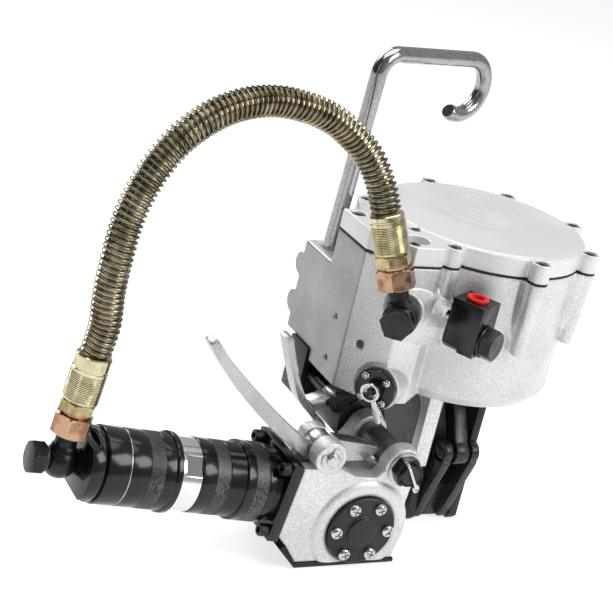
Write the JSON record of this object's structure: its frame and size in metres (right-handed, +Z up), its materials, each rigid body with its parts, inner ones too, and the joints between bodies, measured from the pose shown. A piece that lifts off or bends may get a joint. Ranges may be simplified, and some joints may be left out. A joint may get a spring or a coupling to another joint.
{
  "type": "pneumatic steel strapping tensioner and sealer",
  "caption": "Hand-held air tool that tensions steel strap with a motor-driven feed wheel and crimps a seal with piston-driven toggle jaws; hangs from a hook.",
  "frame": {"origin": "on the resting plane, straight below the axis of the crimping cylinder, where the strap runs through the sealer", "axes": "+X along the strap with the air motor at -X, +Y away from the operator, +Z up"},
  "size_m": [0.4397, 0.2036, 0.3543],
  "materials": {
    "cast_aluminium": "bead blasted casting",
    "cover_aluminium": "fine bead blasted",
    "gasket": "matt",
    "black_screws": "black oxide",
    "bronze": "turned",
    "black_steel": "black oxide",
    "jaw_steel": "hardened, dark",
    "pin_steel": "ground",
    "black_block": "black anodised",
    "red_plastic": "moulded",
    "hose_zinc": "yellow zinc plate",
    "hose_armour": "yellow zinc spiral",
    "black_anodised": "satin black anodised",
    "bright_screws": "bright zinc",
    "machined_aluminium": "turned",
    "seal_rubber": "smooth",
    "ground_steel": "ground",
    "spring_steel": "oiled",
    "chrome_bar": "polished",
    "nickel_plate": "satin nickel",
    "grey_plate": "zinc plated",
    "cover_black": "satin black",
    "bright_collar": "turned bright",
    "brown_sleeve": "straw brown",
    "hard_steel": "hardened"
  },
  "bodies": {
    "frame": {"main_housing": "cast_aluminium", "cover_gasket": "gasket", "cylinder_cover": "cover_aluminium", "cover_screws": "black_screws", "rod_bush": "bronze", "side_plate_left": "black_steel", "side_plate_right": "black_steel", "jaw_pins": "pin_steel", "strap_foot": "jaw_steel", "frame_bracket": "black_steel", "inlet_block": "black_block", "inlet_plug": "red_plastic", "inlet_bolt": "black_screws", "body_banjo": "black_block", "body_banjo_bolt": "black_screws", "body_hose_end": "hose_zinc", "valve_flange": "black_anodised", "valve_screws": "bright_screws", "pivot_bolt": "black_steel", "castle_nut": "black_steel", "cotter_pin": "pin_steel", "pivot_washer": "pin_steel", "rear_lever_pin": "black_steel", "return_spring": "spring_steel", "hose": "hose_armour"},
    "ram": {"piston": "machined_aluminium", "piston_seal": "seal_rubber", "piston_rod": "ground_steel", "link_pins": "pin_steel"},
    "front_link": {"link_front": "black_steel"},
    "back_link": {"link_back": "black_steel"},
    "front_jaw": {"jaw_front": "jaw_steel", "knee_pin_front": "pin_steel"},
    "back_jaw": {"jaw_back": "jaw_steel", "knee_pin_back": "pin_steel"},
    "hanger": {"hook": "chrome_bar"},
    "valve_handle": {"valve_lever": "nickel_plate"},
    "release_lever": {"rear_lever": "grey_plate"},
    "tensioner": {"gearbox_housing": "cast_aluminium", "gearbox_cover": "cover_black", "gearbox_cover_screws": "bright_screws", "foot_plate": "cover_black", "motor_flange": "black_anodised", "flange_screws": "black_screws", "gear_barrel": "black_anodised", "lock_collar": "bright_collar", "motor_barrel": "black_anodised", "end_cap": "black_anodised", "motor_banjo": "black_block", "motor_banjo_bolt": "black_screws", "motor_hose_end": "hose_zinc", "pivot_sleeve": "brown_sleeve", "shaft_bearings": "ground_steel", "lift_pin": "pin_steel"},
    "feed": {"feed_shaft": "ground_steel", "feed_wheel": "hard_steel", "crown_gear": "hard_steel"},
    "pinion": {"pinion_shaft": "ground_steel"},
    "motor_rotor": {"rotor": "ground_steel"},
    "lifter": {"lift_lever": "nickel_plate"}
  },
  "joints": [
    {"name": "tensioner_pivot", "type": "hinge", "parent": "frame", "child": "tensioner", "pos_m": [-0.075, 0, 0.0795], "axis": [0, 1, 0], "range_deg": [0, 4], "deforming": ["hose"]},
    {"name": "lift_lever", "type": "hinge", "parent": "tensioner", "child": "lifter", "pos_m": [-0.137, -0.073, 0.089], "axis": [0, 1, 0], "range_deg": [-8, 0]},
    {"name": "feed_spin", "type": "hinge", "parent": "tensioner", "child": "feed", "pos_m": [-0.1, 0, 0.031], "axis": [0, 1, 0], "continuous": true},
    {"name": "pinion_spin", "type": "hinge", "parent": "tensioner", "child": "pinion", "pos_m": [-0.16, -0.062, 0.052], "axis": [-0.9903, 0, 0.1392], "continuous": true},
    {"name": "rotor_spin", "type": "hinge", "parent": "tensioner", "child": "motor_rotor", "pos_m": [-0.16, -0.062, 0.052], "axis": [-0.9903, 0, 0.1392], "continuous": true},
    {"name": "piston_slide", "type": "slide", "parent": "frame", "child": "ram", "axis": [0, 0, -1], "range_m": [0, 0.016], "stiffness_N_per_m": 2500, "springref_m": -0.012, "deforming": ["return_spring"]},
    {"name": "front_link", "type": "hinge", "parent": "ram", "child": "front_link", "pos_m": [0, -0.01, 0.13], "axis": [1, 0, 0], "range_deg": [-10.4, 0]},
    {"name": "back_link", "type": "hinge", "parent": "ram", "child": "back_link", "pos_m": [0, 0.01, 0.13], "axis": [1, 0, 0], "range_deg": [0, 10.4]},
    {"name": "front_jaw", "type": "hinge", "parent": "frame", "child": "front_jaw", "pos_m": [0, -0.026, 0.03], "axis": [1, 0, 0], "range_deg": [0, 18.6]},
    {"name": "back_jaw", "type": "hinge", "parent": "frame", "child": "back_jaw", "pos_m": [0, 0.026, 0.03], "axis": [1, 0, 0], "range_deg": [-18.6, 0]},
    {"name": "hook_swivel", "type": "hinge", "parent": "frame", "child": "hanger", "pos_m": [-0.104, 0.034, 0.198], "axis": [0.0436, 0, 0.999], "range_deg": [-60, 60]},
    {"name": "valve_handle", "type": "hinge", "parent": "frame", "child": "valve_handle", "pos_m": [-0.0945, -0.0626, 0.131], "axis": [-0.7771, -0.6293, 0], "range_deg": [0, 35], "stiffness_Nm_per_rad": 0.06, "springref_deg": -17.19},
    {"name": "release_lever", "type": "hinge", "parent": "frame", "child": "release_lever", "pos_m": [-0.11, -0.031, 0.106], "axis": [0, 1, 0], "range_deg": [0, 12], "stiffness_Nm_per_rad": 0.3, "springref_deg": -20.05}
  ],
  "couplings": [
    {"joint": "lift_lever", "follows": "tensioner_pivot", "ratio": -1.5},
    {"joint": "pinion_spin", "follows": "feed_spin", "ratio": 2},
    {"joint": "rotor_spin", "follows": "feed_spin", "ratio": 10},
    {"joint": "front_link", "follows": "piston_slide", "rad_per_m": -11.105},
    {"joint": "back_link", "follows": "piston_slide", "rad_per_m": 11.105},
    {"joint": "front_jaw", "follows": "piston_slide", "rad_per_m": 19.962},
    {"joint": "back_jaw", "follows": "piston_slide", "rad_per_m": -19.962}
  ]
}
